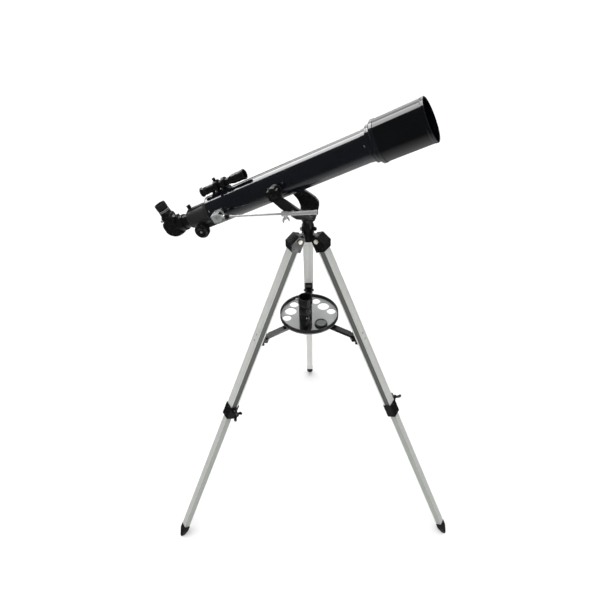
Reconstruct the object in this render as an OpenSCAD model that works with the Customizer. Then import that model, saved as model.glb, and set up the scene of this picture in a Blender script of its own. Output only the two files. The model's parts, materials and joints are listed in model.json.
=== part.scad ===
// Small refracting telescope on an alt-azimuth yoke and a folding aluminium tripod.
// +Z is up, the origin is on the ground under the azimuth axis.
// In the head frame +X points where the tube points; in the tube frame X is the optical axis.

/* [Pointing] */
// Tube's tilt above the horizon
tube_tilt = 27.8; // [26:0.2:30]
// Azimuth of the tube's front end
tube_azimuth = -12.5; // [-20:0.5:20]

/* [Optical tube] */
// Outer radius of the main tube
tube_r = 37.5; // [37.5:0.1:38]
// Wall of the main tube
tube_wall = 1.5; // [1.2:0.1:1.8]
// Distance from the altitude axis to the tube's rear end
tube_rear = 203; // [200:1:206]
// Distance from the altitude axis to the tube's front end
tube_front = 238; // [236:1:240]
// Length of the dew shield
shield_len = 126; // [110:1:140]
// Outer radius of the dew shield at its mouth
shield_r = 51; // [50:0.5:53]

/* [Focuser] */
// Outer radius of the sliding drawtube
draw_r = 18.5; // [18.5:0.1:18.6]
// Teeth on the focusing pinion
pinion_teeth = 12; // [12:1:12]
// Radius of the two focusing knobs
focus_knob_r = 19; // [16:0.5:20]

/* [Fittings] */
// Radius of the 1.25 inch push-fit barrels
barrel_r = 15.87; // [15.85:0.01:15.88]
// Distance of the finder's axis above the tube's axis
finder_rise = 54; // [53:0.5:56]

/* [Mount] */
// Height of the altitude axis above the ground
alt_z = 1122; // [1121:0.5:1123]
// Distance of the altitude axis behind the azimuth axis
alt_back = 66; // [65:0.5:67]

/* [Tripod] */
// Radius of the circle on which the feet stand
foot_circle = 489; // [480:1:495]
// Height of the leg hinges above the ground
hinge_z = 980; // [975:1:985]
// Distance of the leg hinges from the azimuth axis
hinge_r = 33; // [32.5:0.5:33.5]
// Radius of the accessory tray
tray_r = 81.5; // [80:0.5:83]

/* [Hidden] */

$fn = 64;
eps = 0.01;
run = 0.06;              // radial clearance of a running fit
gap = 0.4;               // clearance between bodies that only pass each other

// Azimuths of the three legs
leg_left = 210;
leg_right = 330;
leg_back = 90;

// Leg geometry, measured down the leg from its hinge
leg_splay = atan((foot_circle - hinge_r) / hinge_z);
leg_len = hinge_z / cos(leg_splay);
upper_w = 27;            // tangential width
upper_d = 20;            // radial depth
lower_w = 20.8;
lower_d = 15.8;
upper_top = 20;
upper_end = 546;
clamp_top = 536;
clamp_end = 577;
screw_u = 545;
screw_y = 32;
lower_top = 470;
foot_top = leg_len - 48;
hinge_pin_r = 3;

// Leg brace and tray
brace_u = 300;           // brace pin's distance down the leg
brace_out = 23;          // brace pin's distance inside the leg's centre line
brace_pin_r = 2;
brace_pin_x = hinge_r + brace_u * sin(leg_splay) - brace_out * cos(leg_splay);
brace_pin_z = hinge_z - brace_u * cos(leg_splay) - brace_out * sin(leg_splay);
hub_pin_x = 25;
hub_pin_z = 706;
tray_floor = 718;
tray_top = 729;
tray_plate = 2;
hole_big_r = 16.3;
hole_small_r = 12.4;
hole_big_at = 54.5;
hole_small_at = 63.5;
group_a = 42;            // azimuths of the two groups of three holes
group_b = 162;
hole_step = 29.5;
pair_at = 57;            // radius and half angle of the pair of holes that are in use
pair_mid = -78;
pair_step = 22;

// Head and yoke
spindle_r = 8;
head_bottom = 966;
head_top = 1022;
lock_z = 1005.5;
lock_azimuth = -35;
arm_in = 42.2;
arm_out = 49.2;
bend_z = 1080;
alt_bolt_r = 3;
rod_y = -56;
rod_from = [-143, -78.3];  // rod's eye, from the altitude axis, in the head's XZ plane
rod_to = [41, -49.7];      // sleeve's swivel, from the altitude axis
rod_vec = rod_to - rod_from;
rod_len = norm(rod_vec);
rod_tilt = atan2(rod_vec.y, rod_vec.x);
rod_r = 2.5;
bracket_hole = [-163.7, 0.3];
bracket_hole_r = 6;
sleeve_r = 5;

// Optical tube stations along X
cell_rear = 231;
ring_rear = 243;
cell_front = 262;
shield_rear = 255;
shield_front = shield_rear + shield_len;
cell_r = 43;
lens_r = 35.4;
focuser_rear = 275;
draw_end = 311;
pinion_x = -245;
pinion_module = 1;
pinion_pitch_r = pinion_teeth * pinion_module / 2;
rack_pitch_z = -draw_r - 2.6;
pinion_z = rack_pitch_z - pinion_pitch_r;
diag_x = -334;
diag_rise = 26;

module head() {
    rotate([0, 0, tube_azimuth]) children();
}

// Frame of the optical tube: X is the optical axis, the altitude axis is Y
module on_tube() {
    head() translate([-alt_back, 0, alt_z]) rotate([0, -tube_tilt, 0]) children();
}

// Frame of a leg: Z runs up the leg from the hinge, X is outwards, Y is across
module on_leg(azimuth) {
    rotate([0, 0, azimuth]) translate([hinge_r, 0, hinge_z]) rotate([0, -leg_splay, 0]) children();
}

// Frame of the altitude control rod: X runs along the rod from its eye
module on_rod() {
    head() translate([rod_from.x - alt_back, rod_y, rod_from.y + alt_z])
        rotate([0, -rod_tilt, 0]) children();
}

// Cylinder from x0 to x1 along X
module bar_x(x0, x1, r) {
    translate([x0, 0, 0]) rotate([0, 90, 0]) cylinder(h = x1 - x0, r = r);
}

// Cylinder from y0 to y1 along Y
module bar_y(y0, y1, r) {
    translate([0, y1, 0]) rotate([90, 0, 0]) cylinder(h = y1 - y0, r = r);
}

// Box from two opposite corners
module block(a, b) {
    translate(a) cube(b - a);
}

// Vertical prism between two heights down a leg
module leg_box(u0, u1, w, d) {
    block([-d / 2, -w / 2, -u1], [d / 2, w / 2, -u0]);
}

// Thumb wheel with a scalloped rim, along Z
module thumb_wheel(r, h, lobes) {
    difference() {
        cylinder(h = h, r = r);
        for (i = [0 : lobes - 1])
            rotate(i * 360 / lobes) translate([r * 1.1, 0, -eps]) cylinder(h = h + 2 * eps, r = r * 0.28);
    }
}

// Wing screw along Z: shank from -reach to 0, two wings above it
module wing_screw(reach, shank_r, span, thick = 2.6) {
    translate([0, 0, -reach]) cylinder(h = reach + 3, r = shank_r);
    cylinder(h = 7, r = shank_r + 1.8);
    for (side = [-1, 1])
        translate([side * (shank_r + 0.5), 0, 3.5]) rotate([90, 0, 0])
            linear_extrude(height = thick, center = true)
                polygon([[0, -2.5], [side * span * 0.6, 0], [side * span * 0.95, 4], [side * span, 9],
                         [side * span * 0.85, 12], [side * span * 0.55, 11], [side * span * 0.35, 6], [0, 3.5]]);
}

// ---------- tripod ----------

module tripod_head() {
    color("#1c1c1e") difference() {
        union() {
            translate([0, 0, head_bottom]) cylinder(h = head_top - head_bottom, r = 13.2);
            translate([0, 0, lock_z - 7.5]) cylinder(h = 15, r = 14.6);
            for (a = [leg_left, leg_right, leg_back])
                rotate(a) {
                    block([6, -6, hinge_z - 8.5], [hinge_r, 6, hinge_z + 8.5]);
                    translate([hinge_r, 0, hinge_z]) bar_y(-6, 6, 8.5);
                }
        }
        translate([0, 0, head_bottom - 1]) cylinder(h = 60, r = spindle_r + run);
        for (a = [leg_left, leg_right, leg_back])
            rotate(a) translate([hinge_r, 0, hinge_z]) bar_y(-7, 7, hinge_pin_r);
        translate([0, 0, lock_z]) rotate([0, 90, lock_azimuth]) cylinder(h = 30, r = 2.5 + run);
    }
}

module leg_hinge_bolts() {
    color("#b9b6a6") for (a = [leg_left, leg_right, leg_back])
        rotate(a) translate([hinge_r, 0, hinge_z]) {
            bar_y(-21, 21, hinge_pin_r);
            for (y0 = [-16.4, 20.4])
                translate([0, y0, 0]) rotate([90, 0, 0]) cylinder(h = 4, r = 6, $fn = 6);
        }
}

module azimuth_lock_knob() {
    color("#18181a") translate([0, 0, lock_z]) rotate([0, 90, lock_azimuth]) {
        translate([0, 0, spindle_r + gap]) cylinder(h = 20 - spindle_r - gap, r = 2.5);
        translate([0, 0, 15.2]) cylinder(h = 2.6, r = 3.4);
        translate([0, 0, 17.6]) thumb_wheel(5, 6, 8);
        translate([0, 0, 23.6]) cylinder(h = 1.6, r1 = 3.8, r2 = 2.6);
    }
}

module leg_top(a) {
    color("#1b1b1d") on_leg(a) difference() {
        rotate([90, 0, 0]) linear_extrude(height = 32, center = true)
            polygon([[-15, 6], [-11, 11.5], [7, 11.5], [20.5, -13], [12, -31], [-15, -31]]);
        leg_box(upper_top, 37, upper_w, upper_d);
        rotate([0, leg_splay, 0]) block([-40, -6 - gap, -10.6], [0, 6 + gap, 10.6]);
        bar_y(-6 - gap, 6 + gap, 9.3);
        bar_y(-30, 30, hinge_pin_r + run);
    }
}

module upper_leg(a) {
    color("#c9cbcc") on_leg(a) difference() {
        leg_box(upper_top, upper_end, upper_w, upper_d);
        leg_box(upper_top - 1, upper_end + 1, lower_w + 2 * gap, lower_d + 2 * gap);
        for (side = [-1, 1])
            block([-6, side * upper_w / 2 - 1.2, -upper_end - 1], [8.5, side * upper_w / 2 + 1.2, -upper_top + 1]);
        translate([0, 0, -screw_u]) bar_y(0, 30, 3 + run);
    }
}

module leg_clamp(a) {
    color("#1b1b1d") on_leg(a) difference() {
        union() {
            leg_box(clamp_top, clamp_end, upper_w + 3.6, upper_d + 4);
            block([-upper_d / 2 - 7, 3, -clamp_top - 9], [-upper_d / 2, 10, -clamp_top + 1]);
            translate([0, 0, -screw_u]) bar_y(12, 27, 6.2);
        }
        leg_box(clamp_top - 1, upper_end, upper_w, upper_d);
        leg_box(upper_end - 1, clamp_end + 1, lower_w + 2 * gap, lower_d + 2 * gap);
        block([-upper_d / 2 + eps, 2, -clamp_top - 3], [upper_d / 2, 10, -clamp_top + 2]);
        translate([0, 0, -screw_u]) bar_y(0, 30, 3 + run);
    }
}

module clamp_screw(a, turn) {
    color("#202022") on_leg(a) translate([0, screw_y, -screw_u]) rotate([-90, turn, 0])
        wing_screw(screw_y - lower_w / 2 - gap, 3, 13, 4.2);
}

module lower_leg(a) {
    color("#c4c6c8") on_leg(a) difference() {
        leg_box(lower_top, foot_top + 14, lower_w, lower_d);
        leg_box(lower_top - 1, foot_top + 15, lower_w - 4, lower_d - 4);
        for (side = [-1, 1])
            block([-4, side * lower_w / 2 - 0.8, -leg_len], [6, side * lower_w / 2 + 0.8, -lower_top + 1]);
    }
}

module foot(a) {
    color("#161617") intersection() {
        on_leg(a) union() {
            difference() {
                leg_box(foot_top, foot_top + 20, lower_w + 1.6, lower_d + 1.6);
                leg_box(foot_top - 1, foot_top + 14, lower_w, lower_d);
            }
            hull() {
                leg_box(foot_top + 17, foot_top + 20, lower_w + 1.6, lower_d + 1.6);
                leg_box(leg_len + 8, leg_len + 9, 4, 6);
            }
        }
        block([-600, -600, 0], [600, 600, 200]);
    }
}

module brace_bracket(a) {
    inner = -upper_d / 2;
    color("#19191b") on_leg(a) {
        block([inner - 2, -11, -brace_u - 22], [inner, 11, -brace_u + 22]);
        for (side = [-1, 1])
            translate([0, side * 9.5, 0]) block([-brace_out - 5, -1.5, -brace_u - 13], [inner, 1.5, -brace_u + 9]);
        block([-brace_out + 3, -11, -brace_u - 22], [inner, 11, -brace_u - 16]);
        translate([-brace_out, 0, -brace_u]) {
            bar_y(-13, 13, brace_pin_r);
            for (side = [-1, 1])
                translate([0, side * 12.5, 0]) bar_y(-1.5, 1.5, 3.4);
        }
    }
}

// Frame of a brace arm: X runs out from the hub's pin to the leg's pin
module on_brace(azimuth) {
    drop = hub_pin_z - brace_pin_z;
    rotate([0, 0, azimuth]) translate([hub_pin_x, 0, hub_pin_z])
        rotate([0, atan2(drop, brace_pin_x - hub_pin_x), 0]) children();
}

module brace_arm(a) {
    reach = norm([brace_pin_x - hub_pin_x, hub_pin_z - brace_pin_z]);
    color("#1c1c1e") on_brace(a) difference() {
        union() {
            block([0, -7, -5], [reach, 7, 3]);
            translate([reach, 0, 0]) bar_y(-7, 7, 4.2);
            block([12, -8, 2], [reach - 12, 8, 4]);
        }
        block([6, -5, -6], [reach - 10, 5, 1]);
        translate([reach, 0, 0]) bar_y(-8, 8, brace_pin_r + run);
        translate([4, 0, -1]) bar_y(-8, 8, 2.2);
    }
}

module brace_hub() {
    color("#19191b") difference() {
        union() {
            translate([0, 0, 696]) cylinder(h = 16, r = 15);
            translate([0, 0, 711.5]) cylinder(h = tray_floor - tray_plate - 711.5, r = 27);
            translate([0, 0, 690]) cylinder(h = 8, r = 9);
            for (a = [leg_left, leg_right, leg_back], side = [-1, 1])
                rotate(a) translate([0, side * 8.6, 0]) block([10, -1, 701], [30, 1, 712]);
        }
        translate([0, 0, 704]) cylinder(h = 20, r = 5);
    }
}

module tray_hole(r, at, azimuth) {
    rotate(azimuth) translate([at, 0, tray_floor - 10]) cylinder(h = 20, r = r);
}

module tray() {
    color("#3a3b3d") {
        difference() {
            translate([0, 0, tray_floor - tray_plate]) cylinder(h = tray_top - tray_floor + tray_plate, r = tray_r);
            translate([0, 0, tray_floor]) cylinder(h = 30, r = tray_r - 2.2);
            for (g = [group_a, group_b]) {
                tray_hole(hole_big_r, hole_big_at, g);
                for (side = [-1, 1])
                    tray_hole(hole_small_r, hole_small_at, g + side * hole_step);
            }
            for (side = [-1, 1])
                tray_hole(hole_big_r, pair_at, pair_mid + side * pair_step);
        }
        translate([0, 0, 705]) cylinder(h = 12, r = 5);
        translate([0, 0, tray_floor - eps]) thumb_wheel(6.5, 5, 9);
    }
}

// Frame of one of the two pieces that stand in the tray
module in_tray(side) {
    rotate(pair_mid + side * pair_step) translate([pair_at, 0, tray_floor])
        rotate(-pair_mid - side * pair_step) children();
}

module barlow_body() {
    color("#151516") in_tray(-1) difference() {
        union() {
            translate([0, 0, -11]) cylinder(h = 13, r = barrel_r);
            translate([0, 0, 0.3]) cylinder(h = 90, r = 17.2);
            translate([0, 0, 88]) cylinder(h = 20, r = 18.6);
            translate([0, 0, 46]) cylinder(h = 8, r = 17.8);
        }
        translate([0, 0, 72]) cylinder(h = 37, r = barrel_r + 0.08);
        translate([0, 0, -12]) cylinder(h = 90, r = 12);
        translate([0, 0, 99]) rotate([0, -90, 0]) cylinder(h = 22, r = 2 + run);
    }
}

module barlow_screw() {
    color("#c8c8c8") in_tray(-1) translate([0, 0, 99]) rotate([0, -90, 0]) {
        translate([0, 0, 16.2]) cylinder(h = 6, r = 2);
        translate([0, 0, 19.2]) thumb_wheel(4.2, 6, 10);
    }
}

module spare_eyepiece() {
    color("#5c5e60") in_tray(1) difference() {
        union() {
            translate([0, 0, -11]) cylinder(h = 13, r = barrel_r);
            translate([0, 0, 0.3]) cylinder(h = 11, r = 17.6);
        }
        translate([0, 0, 7.3]) cylinder(h = 5, r1 = 9, r2 = 12.5);
        translate([0, 0, -12]) cylinder(h = 8, r = 13);
    }
}

// ---------- yoke and altitude control ----------

// Side outline of the yoke in the head's XZ plane
module yoke_side() {
    translate([-alt_back, alt_z]) circle(r = 16);
    polygon([[-62, 1112], [-36, 1096], [-13, 1080.5], [11, 1066.5], [20, 1057], [22, 1047], [20, 1030],
             [-19, 1030], [-24, 1047], [-33, 1058.5], [-45, 1069], [-60, 1082], [-78, 1098]]);
}

// U outline across the yoke, straight above bend_z and round below it
module yoke_bend(r) {
    translate([0, bend_z]) circle(r = r);
    translate([-r, bend_z]) square([2 * r, 80]);
}

module yoke() {
    color("#1a1a1c") head() difference() {
        union() {
            intersection() {
                translate([0, 60, 0]) rotate([90, 0, 0]) linear_extrude(height = 120) yoke_side();
                translate([-100, 0, 0]) rotate([90, 0, 90]) linear_extrude(height = 140) difference() {
                    yoke_bend(arm_out);
                    yoke_bend(arm_in);
                }
            }
            translate([0, 0, head_top + gap]) cylinder(h = 14, r1 = 15, r2 = 19);
            translate([0, 0, head_bottom + 3]) cylinder(h = 66, r = spindle_r);
        }
        translate([-alt_back, 0, alt_z]) bar_y(-60, 60, alt_bolt_r + run);
        translate([rod_to.x - alt_back, 0, rod_to.y + alt_z]) bar_y(-60, -30, 3 + run);
    }
}

// Altitude knob on one side: threaded bolt, boss and three-lobed grip
module altitude_knob(side) {
    head() translate([-alt_back, 0, alt_z]) rotate([side * 90, 0, 0]) {
        translate([0, 0, -60]) cylinder(h = 60 - 38.5, r = alt_bolt_r);
        translate([0, 0, -56.6]) cylinder(h = 56.6 - arm_out - gap, r = 9);
        translate([0, 0, -68]) thumb_wheel(18, 12, 5);
        translate([0, 0, -70]) cylinder(h = 3, r1 = 6, r2 = 9);
    }
}

module altitude_knob_near() {
    color("#18181a") altitude_knob(-1);
}

module altitude_knob_far() {
    color("#18181a") altitude_knob(1);
}

module altitude_bosses() {
    color("#1d1d1f") on_tube() difference() {
        for (side = [-1, 1])
            translate([0, side * (arm_in - gap - 5), 0]) bar_y(-5, 5, 14);
        bar_x(-30, 30, tube_r);
        bar_y(-60, 60, alt_bolt_r + run);
    }
}

// Plate bracket on the tube's side; the rod's pin rides in its oversize holes
module rod_bracket() {
    x0 = bracket_hole.x - 16;
    x1 = bracket_hole.x + 6;
    color("#d4d4d4") on_tube() difference() {
        union() {
            for (y0 = [-66.5, -47.5])
                hull() {
                    translate([bracket_hole.x, y0, 0]) bar_y(0, 2, 11);
                    block([x0, y0, -10], [x0 + 6, y0 + 2, 10]);
                }
            block([x0, -66.5, 8], [x1, -30, 10]);
            block([x0 + 4, -47.5, -13], [x1 - 2, -30, -10.5]);
        }
        bar_x(-230, -100, tube_r);
        translate([bracket_hole.x, 0, bracket_hole.y]) bar_y(-70, -44, bracket_hole_r);
    }
}

module control_rod() {
    color("#cfcfd1") on_rod() {
        bar_x(0, rod_len + 20, rod_r);
        bar_y(-4, 4, 4.5);
        bar_y(-12, 12, 1.6);
        bar_x(10, 14.4, 4.4);
    }
}

module rod_adjust_nut() {
    color("#1a1a1b") on_rod() difference() {
        union() {
            bar_x(14.8, 21, 7.5);
            bar_x(14.8, 25, 5.5);
        }
        bar_x(10, 30, rod_r + run);
    }
}

module rod_sleeve() {
    color("#d6d6d8") on_rod() difference() {
        union() {
            bar_x(rod_len - 26, rod_len + 62, sleeve_r);
            bar_x(rod_len - 26, rod_len - 12, 6.5);
            bar_x(rod_len + 56, rod_len + 62, 5.8);
            translate([rod_len, 0, 0]) bar_y(0, -rod_y - arm_in - 1, 3);
            translate([rod_len, 0, 0]) bar_y(0, -rod_y - arm_out - gap, 5);
        }
        bar_x(rod_len - 30, rod_len + 70, rod_r + run);
        translate([rod_len - 19, 0, 0]) rotate([180, 0, 0]) cylinder(h = 10, r = 2 + run);
    }
}

module rod_lock_screw() {
    color("#d0d0d0") on_rod() translate([rod_len - 19, 0, -7.2]) rotate([180, 0, 30])
        wing_screw(4, 2, 6.3);
}

// ---------- optical tube ----------

module main_tube() {
    color("#141518") on_tube() difference() {
        bar_x(-tube_rear, tube_front, tube_r);
        bar_x(-tube_rear - 1, tube_front + 1, tube_r - tube_wall);
    }
}

module lens_cell() {
    color("#16171a") on_tube() difference() {
        union() {
            bar_x(cell_rear, ring_rear, tube_r + 1);
            bar_x(ring_rear, shield_rear - 2, cell_r);
            bar_x(ring_rear, cell_front, cell_r - 2);
        }
        bar_x(cell_rear - 1, tube_front, tube_r);
        bar_x(tube_front - 1, cell_front + 1, lens_r - 1.6);
        bar_x(tube_front + 4, cell_front + 1, lens_r);
    }
}

// Points of a spherical lens face from the axis to the rim, vertex at height z, radius r
function lens_face(z, r) =
    [for (i = [0 : 8]) let (h = lens_r * i / 8) [h, z - h * h / (2 * r)]];

// Two lens elements, front convex and back flatter, a little apart
module objective_lenses() {
    color("#9fb6c4") on_tube() rotate([0, 90, 0]) {
        rotate_extrude() polygon(concat([[0, 249]], lens_face(257, 420), [[lens_r, 249]]));
        rotate_extrude() polygon(concat([[0, 243]], lens_face(248.6, 2000), [[lens_r, 243]]));
    }
}

module dew_shield() {
    color("#121316") on_tube() rotate([0, 90, 0]) rotate_extrude() polygon([
        [cell_r - 2, shield_rear], [shield_r - 4, shield_rear - 1], [shield_r - 2, shield_rear + 2],
        [shield_r - 1, shield_front - 8], [shield_r, shield_front - 6], [shield_r, shield_front],
        [shield_r - 2, shield_front], [shield_r - 2, shield_front - 22],
        [shield_r - 3.6, shield_front - 24], [shield_r - 4.4, shield_rear + 7], [cell_r - 2, shield_rear + 6]]);
}

module focuser_body() {
    bore = draw_r + run;
    color("#2a2b2e") on_tube() difference() {
        union() {
            bar_x(-tube_rear - 3, -tube_rear, tube_r - 1);
            bar_x(-tube_rear, -tube_rear + 18, tube_r - tube_wall);
            rotate([0, 90, 0]) rotate_extrude() polygon([[0, -focuser_rear], [24, -focuser_rear],
                [26.5, -tube_rear - 14], [33, -tube_rear - 3], [0, -tube_rear - 3]]);
            block([pinion_x - 15, -12, -35], [-tube_rear - 2, 12, -15]);
            translate([pinion_x, 0, pinion_z]) bar_y(-20, 20, 8.5);
            block([-focuser_rear + 5, -6, 20], [-tube_rear - 6, 6, 27.5]);
        }
        bar_x(-400, -100, bore);
        block([-400, -5.5, rack_pitch_z - 1.8], [-100, 5.5, 0]);
        translate([pinion_x, 0, pinion_z]) {
            bar_y(-30, 30, 3 + run);
            bar_y(-6, 6, pinion_pitch_r + 1.6);
        }
        translate([-262, 0, 0]) cylinder(h = 40, r = 2.5 + run);
        bar_x(-tube_rear + 15, -tube_rear + 25, tube_r - 5);
    }
}

module drawtube() {
    color("#232427") on_tube() difference() {
        union() {
            bar_x(-draw_end, -170, draw_r);
            bar_x(-draw_end, -296, 21);
        }
        bar_x(-draw_end - 1, -169, barrel_r + 0.08);
        block([-290, -4.6, -draw_r - 1], [-160, 4.6, -draw_r + 1.4]);
    }
}

module focus_rack() {
    pitch = PI * pinion_module;
    first = pinion_x - pitch * 14 - pitch / 2;
    color("#c9c2a0") on_tube() {
        block([-288, -4.4, -draw_r - 1.3], [-172, 4.4, -draw_r + 1.2]);
        for (i = [1 : 34])
            translate([first + i * pitch + pitch / 2, 4, 0]) rotate([90, 0, 0]) linear_extrude(height = 8)
                polygon([[-pitch / 4 - 0.32, -draw_r - 1.2], [-pitch / 4 + 0.42, rack_pitch_z - 0.8],
                         [pitch / 4 - 0.42, rack_pitch_z - 0.8], [pitch / 4 + 0.32, -draw_r - 1.2]]);
    }
}

// Outline of one pinion tooth with straight flanks
module pinion_outline() {
    circle(r = pinion_pitch_r - 1.15);
    for (i = [0 : pinion_teeth - 1])
        rotate((i + 0.5) * 360 / pinion_teeth)
            polygon([[pinion_pitch_r - 1.6, -0.85], [pinion_pitch_r, -0.62], [pinion_pitch_r + 0.75, -0.3],
                     [pinion_pitch_r + 0.75, 0.3], [pinion_pitch_r, 0.62], [pinion_pitch_r - 1.6, 0.85]]);
}

module pinion_shaft() {
    color("#b8b8b8") on_tube() translate([pinion_x, 0, pinion_z]) {
        bar_y(-43, 43, 3);
        translate([0, 3.8, 0]) rotate([90, 0, 0]) rotate(90) linear_extrude(height = 7.6) pinion_outline();
    }
}

module focus_knobs() {
    color("#17171a") on_tube() translate([pinion_x, 0, pinion_z]) for (side = [0, 1])
        mirror([0, side, 0]) rotate([90, 0, 0]) difference() {
            union() {
                translate([0, 0, 21]) cylinder(h = 5, r = 8);
                translate([0, 0, 26]) cylinder(h = 15, r = focus_knob_r);
                translate([0, 0, 41]) cylinder(h = 4, r1 = focus_knob_r - 1, r2 = focus_knob_r - 4);
            }
            translate([0, 0, 20]) cylinder(h = 23, r = 3);
            translate([0, 0, 40]) cylinder(h = 6, r1 = 3, r2 = focus_knob_r - 6);
        }
}

module focus_lock_screw() {
    color("#161618") on_tube() translate([-262, 0, 0]) {
        translate([0, 0, draw_r + gap]) cylinder(h = 14, r = 2.5);
        translate([0, 0, 30]) thumb_wheel(5.5, 8, 10);
    }
}

module diagonal_body() {
    color("#18191b") on_tube() difference() {
        union() {
            bar_x(-draw_end - 1, -284, barrel_r);
            bar_x(-draw_end - 9, -draw_end - gap, 20);
            intersection() {
                block([diag_x - 20, -20, -24], [-draw_end - 4, 20, 22]);
                translate([diag_x + 5, 0, 5]) sphere(r = 33);
            }
            translate([diag_x, 0, 15]) cylinder(h = diag_rise - 5, r = 19);
        }
        bar_x(-draw_end - 14, -280, 13);
        translate([diag_x, 0, 12]) cylinder(h = 40, r = barrel_r + 0.08);
        translate([diag_x, 12.5, 0]) rotate([90, 0, 0])
            linear_extrude(height = 25) polygon([[-13.5, 12.5], [16, 12.5], [16, -15.5]]);
        translate([diag_x, 0, 30]) rotate([0, 90, -140]) cylinder(h = 30, r = 1.5 + run);
        translate([diag_x, 0, 30]) rotate([0, 90, -20]) cylinder(h = 30, r = 1.5 + run);
    }
}

module diagonal_prism() {
    color("#a9bdc6") on_tube() translate([diag_x, 12, 0]) rotate([90, 0, 0])
        linear_extrude(height = 24) polygon([[-10, 11.5], [14.5, 11.5], [14.5, -12]]);
}

module diagonal_screws() {
    color("#d2d2d2") on_tube() translate([diag_x, 0, 30]) for (a = [-140, -20])
        rotate([0, 90, a]) {
            translate([0, 0, barrel_r + 0.3]) cylinder(h = 6, r = 1.5);
            translate([0, 0, 19.4]) thumb_wheel(3.6, 5, 10);
        }
}

module eyepiece_body() {
    color("#161618") on_tube() translate([diag_x, 0, 0]) difference() {
        union() {
            translate([0, 0, 14]) cylinder(h = 24, r = barrel_r);
            translate([0, 0, 36.3]) cylinder(h = 3, r = 17);
            translate([0, 0, 38]) cylinder(h = 26, r1 = 15.3, r2 = 14.2);
            translate([0, 0, 52]) cylinder(h = 2, r = 15.2);
        }
        translate([0, 0, 13]) cylinder(h = 14, r = 13);
        translate([0, 0, 62]) cylinder(h = 8, r1 = 8, r2 = 11);
    }
}

module eyecup() {
    color("#1e1e20") on_tube() translate([diag_x, 0, 58]) difference() {
        cylinder(h = 14, r = 15.2);
        translate([0, 0, -1]) cylinder(h = 7.1, r = 14.5);
        translate([0, 0, 5]) cylinder(h = 10, r1 = 10.6, r2 = 12.8);
    }
}

// ---------- finder ----------

module finder_tube() {
    color("#17181a") on_tube() translate([0, 0, finder_rise]) difference() {
        union() {
            bar_x(-182.6, -158, 9.6);
            bar_x(-160, -116, 8.5);
            translate([-117, 0, 0]) rotate([0, 90, 0]) cylinder(h = 12, r1 = 8.5, r2 = 11.5);
            bar_x(-105, -76, 11.5);
            bar_x(-78, -72, 12.5);
        }
        bar_x(-190, -60, 6.5);
        bar_x(-104, -60, 10);
    }
}

module finder_eyepiece() {
    color("#121214") on_tube() translate([0, 0, finder_rise]) difference() {
        union() {
            bar_x(-195, -183, 9.5);
            bar_x(-184, -171, 6.5 - 0.02);
            translate([-203, 0, 0]) rotate([0, 90, 0]) cylinder(h = 8, r1 = 12, r2 = 9.5);
        }
        bar_x(-206, -165, 5);
    }
}

module finder_bracket() {
    color("#18181a") on_tube() difference() {
        union() {
            translate([0, 0, finder_rise]) {
                bar_x(-159, -149, 15);
                bar_x(-136, -128, 14);
                block([-152, -4, -10.3], [-128, 4, -8.6]);
            }
            block([-179, -8, tube_r - 4], [-126, 8, tube_r + 3.5]);
            block([-162, -4, tube_r + 3], [-150, 4, finder_rise - 12]);
        }
        bar_x(-200, -100, tube_r);
        translate([0, 0, finder_rise]) bar_x(-170, -142, 11.5);
        translate([0, 0, finder_rise]) bar_x(-144, -110, 8.5);
        translate([-154, 0, finder_rise]) for (a = [0, 120, 240])
            rotate([a, 0, 0]) cylinder(h = 22, r = 1.5 + run);
        for (x = [-174, -143])
            translate([x, 0, 30]) cylinder(h = 12, r = 2);
    }
}

module finder_screws() {
    color("#1b1b1c") on_tube() {
        translate([-154, 0, finder_rise]) for (a = [0, 120, 240])
            rotate([a, 0, 0]) {
                translate([0, 0, 8.7]) cylinder(h = 12, r = 1.5);
                translate([0, 0, 16]) thumb_wheel(4, 6, 10);
            }
        for (x = [-174, -143])
            translate([x, 0, tube_r + 0.1]) {
                cylinder(h = 4, r = 2);
                translate([0, 0, 3.4]) cylinder(h = 2.5, r = 4, $fn = 6);
            }
    }
}

tripod_head();
leg_hinge_bolts();
azimuth_lock_knob();
yoke();
altitude_knob_near();
altitude_knob_far();
altitude_bosses();
rod_bracket();
control_rod();
rod_adjust_nut();
rod_sleeve();
rod_lock_screw();
main_tube();
lens_cell();
objective_lenses();
dew_shield();
focuser_body();
drawtube();
focus_rack();
pinion_shaft();
focus_knobs();
focus_lock_screw();
diagonal_body();
diagonal_prism();
diagonal_screws();
eyepiece_body();
eyecup();
finder_tube();
finder_eyepiece();
finder_bracket();
finder_screws();
leg_top(leg_left);  // leg_top_left
leg_top(leg_right);  // leg_top_right
leg_top(leg_back);  // leg_top_back
upper_leg(leg_left);  // upper_leg_left
upper_leg(leg_right);  // upper_leg_right
upper_leg(leg_back);  // upper_leg_back
leg_clamp(leg_left);  // leg_clamp_left
leg_clamp(leg_right);  // leg_clamp_right
leg_clamp(leg_back);  // leg_clamp_back
clamp_screw(leg_left, 70);  // clamp_screw_left
clamp_screw(leg_right, 10);  // clamp_screw_right
clamp_screw(leg_back, 40);  // clamp_screw_back
lower_leg(leg_left);  // lower_leg_left
lower_leg(leg_right);  // lower_leg_right
lower_leg(leg_back);  // lower_leg_back
foot(leg_left);  // foot_left
foot(leg_right);  // foot_right
foot(leg_back);  // foot_back
brace_bracket(leg_left);  // brace_bracket_left
brace_bracket(leg_right);  // brace_bracket_right
brace_bracket(leg_back);  // brace_bracket_back
brace_arm(leg_left);  // brace_arm_left
brace_arm(leg_right);  // brace_arm_right
brace_arm(leg_back);  // brace_arm_back
brace_hub();
tray();
barlow_body();
barlow_screw();
spare_eyepiece();
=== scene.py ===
"""Looks of the telescope on its tripod: materials, details, studio and camera round the CAD frame."""
import json
import math
import bpy
import bmesh
from mathutils import Matrix, Vector


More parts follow.
